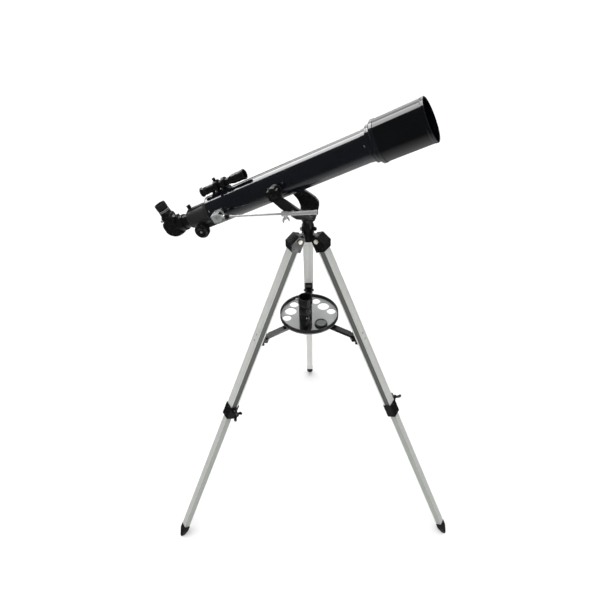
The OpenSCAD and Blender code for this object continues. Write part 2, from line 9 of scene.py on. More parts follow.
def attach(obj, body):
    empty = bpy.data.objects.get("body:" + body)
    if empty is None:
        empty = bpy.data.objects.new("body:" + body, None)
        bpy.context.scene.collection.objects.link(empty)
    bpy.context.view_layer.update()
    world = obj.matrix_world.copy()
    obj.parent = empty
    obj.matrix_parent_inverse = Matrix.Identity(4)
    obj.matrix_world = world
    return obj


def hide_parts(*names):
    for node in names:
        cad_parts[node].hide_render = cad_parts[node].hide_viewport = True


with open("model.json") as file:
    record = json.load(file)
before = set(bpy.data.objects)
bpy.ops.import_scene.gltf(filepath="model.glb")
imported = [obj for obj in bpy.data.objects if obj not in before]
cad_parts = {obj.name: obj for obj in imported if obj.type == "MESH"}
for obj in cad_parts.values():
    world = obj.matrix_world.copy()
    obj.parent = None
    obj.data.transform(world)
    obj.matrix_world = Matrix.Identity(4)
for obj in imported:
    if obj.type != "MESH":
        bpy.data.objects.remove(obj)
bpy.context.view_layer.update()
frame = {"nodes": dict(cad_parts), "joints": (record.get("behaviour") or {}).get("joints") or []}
JOINTS = {j["name"]: j for j in frame["joints"]}
NODES = frame["nodes"]
MM = 0.001
BARREL = 15.87                      # radius of a standard 1.25 inch eyepiece barrel, mm
TRAY_DEPTH = 11 * MM                # from the tray's rim down to its floor
SAME_LEVEL = 0.4 * MM
GROOVE_MID, GROOVE_HALF = 1.25 * MM, 7.3 * MM      # groove in a leg's side face, across the leg, darkened by painted shade
GROOVE_DEPTH = 1.5 * MM
RIDGES, RIDGE_STEP = 26, 1.1        # rings on the control rod, mm apart
EDGE_ANGLE, SHARP_ANGLE = math.radians(32), math.radians(38)


# ---------- frames worked out from the joints ----------
def frame_at(origin, z, x):
    """Matrix at origin with its Z along z and its X as near x as it can be."""
    z = Vector(z).normalized()
    y = z.cross(Vector(x)).normalized()
    return Matrix.Translation(Vector(origin)) @ Matrix((y.cross(z), y, z)).transposed().to_4x4()


def span(node, where):
    """Lowest and highest corner of a CAD node in the frame where."""
    inverse = where.inverted()
    points = [inverse @ v.co for v in NODES[node].data.vertices]
    return (Vector([min(p[i] for p in points) for i in range(3)]),
            Vector([max(p[i] for p in points) for i in range(3)]))


AHEAD = -Vector(JOINTS["focus"]["axis"])
ABOVE = Vector(JOINTS["eyepiece_pull"]["axis"])
ASIDE = ABOVE.cross(AHEAD)
TUBE = frame_at(JOINTS["altitude"]["pos_m"], AHEAD, ABOVE)          # Z forwards, X up, Y to the near side
PINION = frame_at(JOINTS["focus_knob_turn"]["pos_m"], ASIDE, AHEAD)
DIAGONAL = frame_at(JOINTS["diagonal_turn"]["pos_m"], ABOVE, AHEAD)
UP = Vector((0, 0, 1))
SIDES = ("left", "right", "back")
LEGS = {s: frame_at(JOINTS["leg_fold_" + s]["pos_m"], -Vector(JOINTS["leg_extend_" + s]["axis"]),
                    Vector(JOINTS["leg_fold_" + s]["axis"]).cross(UP)) for s in SIDES}


def centre(node, where=None):
    low, high = span(node, where or Matrix())
    return (low + high) / 2


# ---------- materials ----------
class Shader:
    """A Principled material that is put together node by node."""

    def __init__(self, name, metallic=0.0, coat=0.0, specular=0.5):
        self.material = bpy.data.materials.new(name)
        self.material.use_nodes = True
        self.tree = self.material.node_tree
        self.out = self.tree.nodes["Principled BSDF"]
        self.out.inputs["Metallic"].default_value = metallic
        self.out.inputs["Coat Weight"].default_value = coat
        self.out.inputs["Coat Roughness"].default_value = 0.06
        self.out.inputs["Specular IOR Level"].default_value = specular
        self.place = self.add("ShaderNodeTexCoord").outputs["Object"]
        self.normal = None

    def add(self, kind, **sockets):
        node = self.tree.nodes.new(kind)
        for key, value in sockets.items():
            self.put(node.inputs[key.replace("_", " ")], value)
        return node

    def put(self, socket, value):
        if isinstance(value, bpy.types.NodeSocket):
            self.tree.links.new(value, socket)
        else:
            socket.default_value = value

    def turned(self, where, stretch=(1, 1, 1)):
        """Coordinates in the frame where, scaled along its axes."""
        turn = self.add("ShaderNodeMapping", Vector=self.place)
        turn.vector_type = "TEXTURE"
        turn.inputs["Location"].default_value = where.to_translation()
        turn.inputs["Rotation"].default_value = where.to_euler()
        size = self.add("ShaderNodeMapping", Vector=turn.outputs[0])
        size.inputs["Scale"].default_value = stretch
        return size.outputs[0]

    def noise(self, scale, detail=3.0, place=None):
        return self.add("ShaderNodeTexNoise", Vector=place or self.place, Scale=scale,
                        Detail=detail).outputs[0]

    def math(self, kind, a, b=0.0):
        node = self.tree.nodes.new("ShaderNodeMath")
        node.operation = kind
        self.put(node.inputs[0], a)
        self.put(node.inputs[1], b)
        return node.outputs[0]

    def between(self, value, low, high, start=0.3, end=0.7):
        node = self.add("ShaderNodeMapRange", Value=value)
        for key, number in (("From Min", start), ("From Max", end), ("To Min", low), ("To Max", high)):
            node.inputs[key].default_value = number
        return node.outputs[0]

    def mixed(self, share, a, b):
        node = self.tree.nodes.new("ShaderNodeMix")
        node.data_type = "RGBA"
        self.put(node.inputs[0], share)
        self.put(node.inputs[6], a)
        self.put(node.inputs[7], b)
        return node.outputs[2]

    def bump(self, height, strength, distance):
        node = self.add("ShaderNodeBump", Height=height, Strength=strength, Distance=distance)
        if self.normal:
            self.put(node.inputs["Normal"], self.normal)
        self.normal = node.outputs[0]

    def rounded(self, radius):
        """Share of an edge at a point, from how far a rounded normal leans from the true one."""
        soft = self.add("ShaderNodeBevel", Radius=radius)
        soft.samples = 4
        hard = self.add("ShaderNodeNewGeometry")
        dot = self.tree.nodes.new("ShaderNodeVectorMath")
        dot.operation = "DOT_PRODUCT"
        self.put(dot.inputs[0], soft.outputs[0])
        self.put(dot.inputs[1], hard.outputs["Normal"])
        return self.between(dot.outputs["Value"], 1.0, 0.0, 0.86, 0.985)

    def finish(self, colour, roughness):
        self.put(self.out.inputs["Base Color"], colour)
        self.put(self.out.inputs["Roughness"], roughness)
        if self.normal:
            self.put(self.out.inputs["Normal"], self.normal)
        return self.material


def grey(level, tint=(1, 1, 1)):
    return (level * tint[0], level * tint[1], level * tint[2], 1)


def moulded(name, level, roughness, grain=0.25, size=900, wear=0.0, tint=(1, 1, 1.03), specular=0.3,
            paint=None):
    """Moulded plastic or painted casting: fine grain, uneven sheen, faint dust and rubbed edges."""
    s = Shader(name, specular=specular)
    colour = s.mixed(s.between(s.noise(14, 4), 0, 1), grey(level * 0.8, tint), grey(level * 1.3, tint))
    dust = s.between(s.noise(160, 5), 0.0, 0.35, 0.58, 0.72)
    colour = s.mixed(dust, colour, grey(level * 1.8 + 0.003, tint))
    if paint:
        colour = paint(s, colour)
    if wear:
        rub = s.math("MULTIPLY", s.rounded(0.0007), s.between(s.noise(90, 4), 0.0, wear, 0.4, 0.65))
        colour = s.mixed(rub, colour, grey(level * 4 + 0.03))
    s.bump(s.noise(size, 3), grain, 0.00008)
    s.bump(s.noise(60, 2), 0.06, 0.0003)
    return s.finish(colour, s.between(s.noise(35, 4), roughness - 0.06, roughness + 0.1))


def tray_floor_grey(s, colour):
    """Grey upper face inside the black rim."""
    floor = span("tray", Matrix())[1].z - TRAY_DEPTH
    parts = s.add("ShaderNodeSeparateXYZ", Vector=s.place)
    face = s.math("COMPARE", parts.outputs[2], floor)
    face.node.inputs[2].default_value = SAME_LEVEL
    cloud = s.mixed(s.between(s.noise(18, 4), 0, 1), grey(0.36, (0.97, 1, 1)), grey(0.48, (0.97, 1, 1)))
    return s.mixed(face, colour, cloud)


def lacquered(name):
    """Gloss black lacquer: slight orange peel, hairlines and a trace of dust."""
    s = Shader(name, coat=0.5)
    colour = s.mixed(s.between(s.noise(9, 3), 0, 1), (0.0025, 0.0032, 0.0045, 1),
                     (0.0045, 0.0058, 0.0085, 1))
    specks = s.between(s.noise(1400, 2), 0.0, 0.25, 0.70, 0.80)
    colour = s.mixed(specks, colour, grey(0.05))
    s.bump(s.noise(170, 2), 0.05, 0.00012)
    s.out.inputs["Coat Roughness"].default_value = 0.03
    return s.finish(colour, s.between(s.noise(22, 4), 0.1, 0.18))


def lined(name, radius):
    """Lacquer outside, and a flat black lining where a point lies within radius of the tube's axis."""
    s = Shader(name, coat=0.0)
    local = s.turned(TUBE)
    parts = s.add("ShaderNodeSeparateXYZ", Vector=local)
    away = s.math("POWER", s.math("ADD", s.math("POWER", parts.outputs[0], 2.0),
                                  s.math("POWER", parts.outputs[1], 2.0)), 0.5)
    inside = s.math("LESS_THAN", away, radius)
    outer = s.mixed(s.between(s.noise(9, 3), 0, 1), (0.0012, 0.0014, 0.0019, 1),
                    (0.0024, 0.0028, 0.0038, 1))
    colour = s.mixed(inside, outer, grey(0.0025))
    s.bump(s.noise(170, 2), 0.05, 0.00012)
    s.bump(s.noise(2500, 2), s.math("MULTIPLY", inside, 0.6), 0.0002)
    rough = s.math("ADD", s.between(s.noise(22, 4), 0.06, 0.12), s.math("MULTIPLY", inside, 0.7))
    return s.finish(colour, rough)


def brushed(name, where, half_width, channel_shade, level=0.5):
    """Satin anodised extrusion: die lines along the leg, and painted shade darkening the recessed groove in
    each side face.
    """
    s = Shader(name, metallic=0.4, specular=0.4)
    long = s.turned(where, (1, 1, 0.012))
    lines = s.noise(900, 3, long)
    parts = s.add("ShaderNodeSeparateXYZ", Vector=s.turned(where))
    colour = s.mixed(s.between(s.noise(120, 2, long), 0, 1), grey(level * 0.9, (1, 1.02, 0.98)),
                     grey(level * 1.08, (1, 1.01, 0.97)))
    colour = s.mixed(s.between(s.noise(70, 4), 0, 0.25, 0.5, 0.75), colour, grey(level * 0.72))
    # painted shade: the groove in each side face is coloured dark to stand in for the shade of its recess
    side = s.math("GREATER_THAN", s.math("ABSOLUTE", parts.outputs[1]), half_width - GROOVE_DEPTH)
    groove = s.math("COMPARE", parts.outputs[0], GROOVE_MID)
    groove.node.inputs[2].default_value = GROOVE_HALF
    painted_groove_shade = s.math("MULTIPLY", side, groove)
    colour = s.mixed(painted_groove_shade, colour, grey(channel_shade, (0.95, 1.0, 0.93)))
    s.bump(lines, 0.12, 0.00006)
    return s.finish(colour, s.between(lines, 0.34, 0.48))


def polished(name, level=0.78, roughness=0.12, tint=(1, 1, 1), metallic=1.0):
    """Plated or bare metal with fine scratches and a little tarnish."""
    s = Shader(name, metallic=metallic)
    colour = s.mixed(s.between(s.noise(60, 4), 0, 1), grey(level * 0.93, tint), grey(level, tint))
    s.bump(s.noise(1500, 2), 0.01, 0.00003)
    return s.finish(colour, s.between(s.noise(90, 3), roughness, roughness + 0.07))


def coated_glass(name, tint):
    """Lens glass with a coloured anti-reflection coating."""
    s = Shader(name, coat=1.0)
    s.out.inputs["Transmission Weight"].default_value = 0.55
    s.out.inputs["IOR"].default_value = 1.52
    s.out.inputs["Coat Tint"].default_value = tint
    colour = s.mixed(s.between(s.noise(25, 3), 0, 1), (0.02, 0.03, 0.045, 1), (0.03, 0.035, 0.06, 1))
    return s.finish(colour, s.between(s.noise(300, 3), 0.01, 0.05))


def make_materials():
    lining = span("dew_shield", TUBE)[1].y - 3 * MM
    made = {
        "lacquer": lacquered("tube_lacquer"),
        "lined_lacquer": lined("shield_lacquer", lining),
        "casting": moulded("cast_black", 0.006, 0.26, 0.25, 700, 0.4, specular=0.5),
        "plastic": moulded("moulded_black", 0.004, 0.22, 0.18, 1000, 0.2, specular=0.35),
        "dark_grey": moulded("moulded_dark_grey", 0.018, 0.4, 0.3, 800, 0.25),
        "light_grey": moulded("moulded_light_grey", 0.32, 0.42, 0.2, 900, 0.0, (1, 1, 1)),
        "mid_grey": moulded("moulded_mid_grey", 0.15, 0.42, 0.25, 900, 0.0, (0.97, 1, 1)),
        "dark_steel": polished("blackened_steel", 0.12, 0.3),
        "tray": moulded("tray_grey", 0.012, 0.42, 0.4, 500, 0.3, (1, 1, 1), 0.3, tray_floor_grey),
        "rubber": moulded("rubber_black", 0.009, 0.6, 0.5, 1400, 0.0, (1, 1, 1), 0.2),
        "chrome": polished("chrome_plate", 0.72, 0.1, metallic=0.72),
        "bracket": polished("satin_plate", 0.7, 0.2, (0.99, 1, 1), 0.72),
        "steel": polished("bare_steel", 0.5, 0.26, (1, 0.98, 0.9)),
        "nickel": polished("worn_nickel", 0.8, 0.3, (1, 0.97, 0.84), 0.4),
        "brass": polished("brass", 0.62, 0.25, (1, 0.86, 0.55)),
        "glass": coated_glass("coated_glass", (0.55, 0.62, 1.0, 1)),
    }
    for side in SIDES:
        # the third number is the level of the painted shade in the groove of each side face
        for part, level, channel_shade in (("upper_leg_", 0.79, 0.15), ("lower_leg_", 0.72, 0.5)):
            half = (span(part + side, LEGS[side])[1] - span(part + side, LEGS[side])[0]).y / 2
            made[part + side] = brushed(part + "aluminium_" + side, LEGS[side], half, channel_shade, level)
    return made


MAT = make_materials()


def material_of(node):
    for side in SIDES:
        if node in ("upper_leg_" + side, "lower_leg_" + side):
            return MAT[node]
    if node.startswith("foot_") or node == "eyecup":
        return MAT["rubber"]
    groups = {"casting": ("tripod_head", "yoke"), "lacquer": ("main_tube", "lens_cell"),
              "lined_lacquer": ("dew_shield",), "dark_grey": ("focuser_body",), "tray": ("tray",),
              "chrome": ("control_rod", "rod_lock_screw", "diagonal_screws", "barlow_screw"),
              "bracket": ("rod_bracket", "rod_sleeve"),
              "steel": ("pinion_shaft",), "nickel": ("leg_hinge_bolts",), "brass": ("focus_rack",),
              "glass": ("objective_lenses", "diagonal_prism")}
    return next((MAT[key] for key, names in groups.items() if node in names), MAT["plastic"])


def soften(piece, width):
    """Rounded edges through modifiers, which leave the mesh itself as it is."""
    weld = piece.modifiers.new("weld", "WELD")
    weld.merge_threshold = 0.00001
    bevel = piece.modifiers.new("edges", "BEVEL")
    bevel.width = width
    bevel.segments = 2
    bevel.limit_method = "ANGLE"
    bevel.angle_limit = EDGE_ANGLE
    bevel.use_clamp_overlap = True
    normal = piece.modifiers.new("normals", "WEIGHTED_NORMAL")
    normal.keep_sharp = True


UNSOFTENED = ("objective_lenses", "diagonal_prism", "focus_rack", "main_tube", "dew_shield", "lens_cell")
EDGE = {"yoke": 1.6, "tripod_head": 1.2, "tray": 0.8, "altitude_knob_near": 1.0, "altitude_knob_far": 1.0}
for name, node in NODES.items():
    node.data.materials.clear()
    node.data.materials.append(material_of(name))
    if name not in UNSOFTENED:
        edge = EDGE.get(name, 0.9 if name.startswith("leg_top") or name.startswith("leg_clamp") else 0.35)
        soften(node, edge * MM)

# ---------- detail pieces ----------
class Maker:
    """Gathers turned shapes and prisms, given in millimetres in a local frame, into one piece."""

    def __init__(self):
        self.points, self.faces = [], []

    def lathe(self, where, rings, steps=48, ribs=0, closed=False):
        """Rings (radius, height, rib depth, cross depth) about the Z axis of where; ribs round the rim."""
        steps = 4 * ribs if ribs else steps
        first = len(self.points)
        for ring in rings:
            radius, height, rib, cross = (tuple(ring) + (0, 0))[:4]
            for i in range(steps):
                turn = 2 * math.pi * i / steps
                r = radius - (rib if i % 4 > 1 else 0)
                z = height - (cross if i % (steps // 4) == 0 else 0)
                self.points.append(where @ (Vector((r * math.cos(turn), r * math.sin(turn), z)) * MM))
        pairs = len(rings) if closed else len(rings) - 1
        for k in range(pairs):
            a, b = first + k * steps, first + (k + 1) % len(rings) * steps
            for i in range(steps):
                j = (i + 1) % steps
                self.faces.append((a + i, a + j, b + j, b + i))
        if not closed:
            self.faces.append(tuple(first + i for i in reversed(range(steps))))
            last = first + (len(rings) - 1) * steps
            self.faces.append(tuple(last + i for i in range(steps)))

    def prism(self, where, outline, low, high, inset=0.6):
        """Flat outline raised from low to high with its top edge drawn in."""
        first, count = len(self.points), len(outline)
        middle = Vector((sum(p[0] for p in outline) / count, sum(p[1] for p in outline) / count))
        for z, shrink in ((low, 0), (high - inset, 0), (high, inset)):
            for p in outline:
                flat = Vector(p)
                flat -= (flat - middle).normalized() * shrink
                self.points.append(where @ (Vector((flat.x, flat.y, z)) * MM))
        for k in (0, 1):
            for i in range(count):
                j = (i + 1) % count
                a, b = first + k * count, first + (k + 1) * count
                self.faces.append((a + i, a + j, b + j, b + i))
        self.faces.append(tuple(first + i for i in reversed(range(count))))
        self.faces.append(tuple(first + 2 * count + i for i in range(count)))

    def screw(self, where, radius=2.4, height=1.5):
        """Pan head with a cross recess."""
        self.lathe(where, [(radius, -0.2), (radius, height * 0.5), (radius * 0.86, height * 0.85),
                           (radius * 0.62, height), (radius * 0.5, height, 0, 0.45),
                           (radius * 0.2, height, 0, 0.7),
                           (radius * 0.06, height, 0, 0.7)], 24)

    def rivet(self, where, radius, height):
        self.lathe(where, [(radius, -0.2), (radius, height * 0.4), (radius * 0.8, height * 0.8),
                           (radius * 0.4, height), (radius * 0.05, height)], 20)

    def make(self, name, body, material, slot, replaces=()):
        mesh = bpy.data.meshes.new(name)
        mesh.from_pydata(self.points, [], self.faces)
        work = bmesh.new()
        work.from_mesh(mesh)
        bmesh.ops.recalc_face_normals(work, faces=work.faces)
        work.to_mesh(mesh)
        work.free()
        mesh.polygons.foreach_set("use_smooth", [True] * len(mesh.polygons))
        mesh.set_sharp_from_angle(angle=SHARP_ANGLE)
        mesh.materials.append(MAT[material])
        piece = bpy.data.objects.new(name, mesh)
        bpy.context.scene.collection.objects.link(piece)
        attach(piece, body)
        if replaces:
            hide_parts(*replaces)
        return piece


def moved(where, x=0.0, y=0.0, z=0.0):
    return where @ Matrix.Translation(Vector((x, y, z)) * MM)


def turned_about(where, degrees, axis="Z"):
    return where @ Matrix.Rotation(math.radians(degrees), 4, axis)


def outward(where, x, y, z, axis):
    """Frame at a point of where with its Z along axis of where."""
    spot = where @ (Vector((x, y, z)) * MM)
    direction = where.to_3x3() @ Vector(axis)
    return frame_at(spot, direction, direction.orthogonal())


def ends(node, where):
    low, high = span(node, where)
    return low.z / MM, high.z / MM


def half_of(node, where, axis):
    """Half of a node's extent along an axis of where, in millimetres."""
    low, high = span(node, where)
    return (high[axis] - low[axis]) / 2 / MM


def glass(name, body, where, radius, height, bulge):
    """Thin round lens with a domed face."""
    lens = Maker()
    angles = [math.pi * k / 12 for k in range(6)]
    dome = [(radius * math.cos(a), height + bulge * math.sin(a)) for a in angles]
    lens.lathe(where, [(radius, height - 1)] + dome + [(radius * 0.03, height + bulge)], 40)
    lens.make(name, body, "glass", "lens_glass")


def focusing_knobs():
    knobs, caps = Maker(), Maker()
    half = ends("focus_knobs", PINION)[1]
    rim = half_of("focus_knobs", PINION, 0)
    for turn in (0, 180):
        where = turned_about(PINION, turn, "X")
        knobs.lathe(where, [(3.2, half - 24), (8, half - 24), (8, half - 19), (rim - 2, half - 19),
                            (rim - 0.6, half - 18.4), (rim, half - 17.4, 0.9), (rim, half - 5.4, 0.9),
                            (rim - 0.8, half - 4.4), (rim - 2.2, half - 3.6), (rim - 5, half),
                            (rim - 6.6, half),
                            (rim - 8, half - 1.6), (6, half - 2.8), (5.4, half - 2), (4.6, half - 2),
                            (4.2, half - 3.2), (3.2, half - 3.2)], ribs=44, closed=True)
        caps.screw(moved(where, z=half - 3.4), 3.0, 1.6)
    knobs.make("focus_knob_grips", "focus_pinion", "plastic", "black_plastic", ["focus_knobs"])
    caps.make("focus_knob_caps", "focus_pinion", "chrome", "chrome")


def eyepiece():
    low, top = ends("eyepiece_body", DIAGONAL)
    base = top - 50
    lip = ends("eyecup", DIAGONAL)[1]
    shell, barrel, lines, cup = Maker(), Maker(), Maker(), Maker()
    barrel.lathe(DIAGONAL, [(13, low), (BARREL, low), (BARREL, low + 9), (15.3, low + 9.6),
                            (15.3, low + 12),
                            (BARREL, low + 12.6), (BARREL, base + 22.2), (13, base + 22.2)], 64,
                 closed=True)
    barrel.make("eyepiece_barrel", "eyepiece", "chrome", "chrome")
    shell.lathe(DIAGONAL, [(12.4, base + 22.3), (16.4, base + 22.3), (17, base + 22.9), (17, base + 24.4),
                           (16.2, base + 25), (15.1, base + 25.2), (15.3, base + 26, 0.5),
                           (15.0, base + 35, 0.5),
                           (14.4, base + 35.4), (14.4, base + 36.4), (15.1, base + 36.8),
                           (15.1, base + 38.4),
                           (14.3, base + 38.8), (14.4, base + 39.6, 0.4), (14.4, base + 43, 0.4),
                           (14.2, base + 44), (14.2, top), (9.6, top), (8, top - 2), (8, top - 12),
                           (12.4, top - 16)],
                ribs=36, closed=True)
    shell.make("eyepiece_shell", "eyepiece", "plastic", "black_plastic", ["eyepiece_body"])
    for height in (base + 35.5, base + 38.9):
        lines.lathe(DIAGONAL, [(14.2, height), (14.95, height), (14.95, height + 0.8),
                               (14.2, height + 0.8)], 64,
                    closed=True)
    lines.make("eyepiece_lines", "eyepiece", "light_grey", "grey_plastic")
    cup.lathe(DIAGONAL, [(14.5, lip - 14), (15.2, lip - 13.6), (15.2, lip - 10), (14.6, lip - 9.4),
                         (14.6, lip - 8.6),
                         (15.2, lip - 8), (14.9, lip - 3), (15.1, lip - 1), (14.6, lip), (13.2, lip),
                         (12.6, lip - 1),
                         (10.8, lip - 8.4), (14.5, lip - 8.6)], 64, closed=True)
    cup.make("eyecup_lip", "eyepiece", "rubber", "rubber", ["eyecup"])
    glass("eyepiece_glass", "eyepiece", DIAGONAL, 8.2, top - 3.4, 1.0)


def diagonal():
    trims, screws = Maker(), Maker()
    joint = ends("drawtube", TUBE)[0]
    trims.lathe(TUBE, [(18, joint - 8.6), (20.2, joint - 8.6), (20.6, joint - 8, 0.6),
                       (20.6, joint - 2, 0.6),
                       (20.2, joint - 1.2), (18, joint - 1.2)], ribs=40, closed=True)
    socket = span("diagonal_body", DIAGONAL)[1].z / MM
    trims.lathe(DIAGONAL, [(17.6, socket - 9), (19.2, socket - 9), (19.7, socket - 8.2, 0.5),
                           (19.7, socket - 2.2, 0.5), (19.1, socket - 1.4), (18.4, socket - 0.2),
                           (17.6, socket - 0.2)],
                ribs=40, closed=True)
    for side in (-1, 1):
        face = outward(DIAGONAL, 0, side * 19.6, 0, (0, side, 0))
        plate = [(12.5 * math.cos(a), 12.5 * math.sin(a)) for a in [math.pi * k / 18 for k in range(36)]]
        trims.prism(face, plate, -0.6, 1.0, 0.5)
        for angle in (45, 165, 285):
            spot = turned_about(face, angle)
            screws.screw(moved(spot, 9.2, 0, 0.9), 1.7, 0.9)
    trims.make("diagonal_trims", "diagonal", "plastic", "black_plastic")
    screws.make("diagonal_plate_screws", "diagonal", "dark_steel", "bolt_steel")


def barlow():
    where = frame_at(centre("barlow_body"), UP, (1, 0, 0))
    low, top = ends("barlow_body", where)
    foot = low + 11
    shell, barrel, pin = Maker(), Maker(), Maker()
    shell.lathe(where, [(12, foot + 0.3), (16.4, foot + 0.3), (17.2, foot + 1.2), (17.2, foot + 6),
                        (16.6, foot + 6.6), (17.2, foot + 7.4, 0.7), (17.2, foot + 40, 0.7),
                        (16.4, foot + 40.8),
                        (16.4, foot + 43.4), (17.8, foot + 44.2), (17.8, foot + 53.4), (16.4, foot + 54.2),
                        (17.2, foot + 55.2, 0.7), (17.2, foot + 82, 0.7), (16.6, foot + 82.8),
                        (16.9, foot + 86),
                        (18.6, foot + 89), (18.6, foot + 91), (18.2, foot + 91.6), (18.6, foot + 92.4, 0.5),
                        (18.6, foot + 103.4, 0.5), (18.4, foot + 104.4), (18.6, top - 2.6), (18.0, top),
                        (16.4, top), (15.95, top - 0.8), (15.95, top - 36), (12, top - 36.4)], ribs=34,
                closed=True)
    shell.make("barlow_shell", "barlow", "plastic", "black_plastic", ["barlow_body"])
    barrel.lathe(where, [(12, low), (15.4, low), (BARREL, low + 0.6), (BARREL, foot + 0.2),
                         (12, foot + 0.2)], 64,
                 closed=True)
    barrel.make("barlow_barrel", "barlow", "chrome", "chrome")
    pin.screw(outward(where, 3, -17.5, foot + 48.8, (0.17, -1, 0)), 1.9, 1.0)
    pin.make("barlow_pin", "barlow", "chrome", "chrome")
    glass("barlow_glass", "barlow", where, 12.5, top - 35, 1.2)


def spare_eyepiece():
    where = frame_at(centre("spare_eyepiece"), UP, (1, 0, 0))
    low, top = ends("spare_eyepiece", where)
    shell, disc, barrel = Maker(), Maker(), Maker()
    shell.lathe(where, [(12, top - 10.9), (17, top - 10.9), (17.6, top - 10, 0.6), (17.6, top - 3, 0.6),
                        (17.3, top - 2), (16.6, top - 0.4), (14.4, top), (12.9, top - 0.6), (9, top - 4),
                        (9, top - 9.8)], ribs=38, closed=True)
    shell.make("spare_eyepiece_shell", "spare_eyepiece", "plastic", "black_plastic", ["spare_eyepiece"])
    disc.lathe(where, [(12.6, top - 4), (15.4, top - 1.6), (15.6, top - 0.4), (15.2, top),
                       (14.2, top - 0.1),
                       (13.4, top - 1), (11.6, top - 1.3), (4.4, top - 1.4), (4.0, top - 0.9),
                       (0.2, top - 0.9)], 56)
    disc.make("spare_eyepiece_cap", "spare_eyepiece", "mid_grey", "grey_plastic")
    barrel.lathe(where, [(13, low), (15.4, low), (BARREL, low + 0.6), (BARREL, low + 11.2),
                         (13, low + 11.2)], 64,
                 closed=True)
    barrel.make("spare_eyepiece_barrel", "spare_eyepiece", "chrome", "chrome")


def tube_details():
    screws, rings, bands = Maker(), Maker(), Maker()
    rear, front = ends("main_tube", TUBE)
    radius = half_of("main_tube", TUBE, 0)
    for angle in (70, 190, 310):
        spot = turned_about(TUBE, angle)
        screws.screw(outward(spot, radius, 0, rear + 8, (1, 0, 0)), 2.2, 1.3)
        screws.screw(outward(spot, radius + 1, 0, front - 2, (1, 0, 0)), 2.0, 1.2)
    for side in (-1, 1):
        for along in (-20, 20):
            slope = math.sqrt(radius * radius - 8 * 8)
            screws.screw(outward(TUBE, 8, side * slope, along, (8, side * slope, 0)), 2.2, 1.2)
    strip = span("focuser_body", TUBE)[0].z / MM
    for along in (strip + 12, strip + 58):
        screws.screw(outward(TUBE, 27.4, 0, along, (1, 0, 0)), 2.0, 1.1)
    screws.make("tube_screws", "tube", "steel", "bolt_steel")
    mouth = ends("dew_shield", TUBE)[1]
    wide = span("dew_shield", TUBE)[1].y / MM
    rings.lathe(TUBE, [(wide - 2.1, mouth - 1.2), (wide + 0.02, mouth - 1.2), (wide + 0.1, mouth),
                       (wide - 0.4, mouth + 0.5), (wide - 1.5, mouth + 0.5), (wide - 2.1, mouth)], 96,
                closed=True)
    back = ends("dew_shield", TUBE)[0]
    rings.lathe(TUBE, [(wide - 3.4, back + 1.6), (wide - 1.6, back + 1.9), (wide - 0.7, back + 3),
                       (wide - 0.7, back + 10), (wide - 1.5, back + 10.8), (wide - 3.4, back + 11)], 96,
                closed=True)
    seam = ends("lens_cell", TUBE)[0] + 12
    cell_wide = span("lens_cell", TUBE)[1].y / MM
    rings.lathe(TUBE, [(cell_wide - 2, seam), (cell_wide - 0.2, seam + 0.2), (cell_wide + 0.6, seam + 1.2),
                       (cell_wide + 0.6, seam + 4), (cell_wide - 0.2, seam + 4.8),
                       (cell_wide - 2, seam + 5)], 96,
                closed=True)
    rings.make("shield_lips", "tube", "lacquer", "tube_gloss_black")
    for along, hole in ((mouth - 60, wide - 7.5), (mouth - 90, wide - 8.5)):
        bands.lathe(TUBE, [(hole, along), (hole + 0.4, along - 0.4), (wide - 4.2, along - 0.6),
                           (wide - 4.2, along + 0.6), (hole + 0.4, along + 0.4)], 96, closed=True)
    cell = ends("lens_cell", TUBE)[1]
    lens = 35.4
    bands.lathe(TUBE, [(lens - 2.4, cell - 3.6), (lens - 0.2, cell - 4.2), (lens - 0.2, cell - 0.4),
                       (lens - 1.6, cell - 0.4)], 96, closed=True)
    bands.make("shield_baffles", "tube", "rubber", "black_plastic")


def focuser_details():
    rings, draw = Maker(), Maker()
    rear = ends("focuser_body", TUBE)[0]
    rings.lathe(TUBE, [(23.4, rear + 0.2), (24.4, rear + 0.4), (24.9, rear + 1.2), (24.9, rear + 4.4),
                       (24.4, rear + 5), (23.4, rear + 5)], 72, closed=True)
    collar = ends("main_tube", TUBE)[0]
    rings.lathe(TUBE, [(35.4, collar - 2.9), (36.8, collar - 2.9), (37.6, collar - 2.2),
                       (37.6, collar - 0.6),
                       (37.2, collar + 0.1), (35.4, collar + 0.1)], 96, closed=True)
    rings.make("focuser_rings", "tube", "dark_grey", "black_plastic")
    end = ends("drawtube", TUBE)[0]
    draw.lathe(TUBE, [(20, end + 0.6), (21, end + 0.8), (21.4, end + 1.6, 0.6), (21.4, end + 8, 0.6),
                      (21, end + 8.8), (20, end + 9)], ribs=44, closed=True)
    draw.lathe(TUBE, [(20, end + 10.6), (21.2, end + 10.8), (21.4, end + 11.6), (21.4, end + 13.6),
                      (20.9, end + 14.4), (20, end + 14.6)], 72, closed=True)
    draw.make("drawtube_ring", "drawtube", "plastic", "black_plastic")


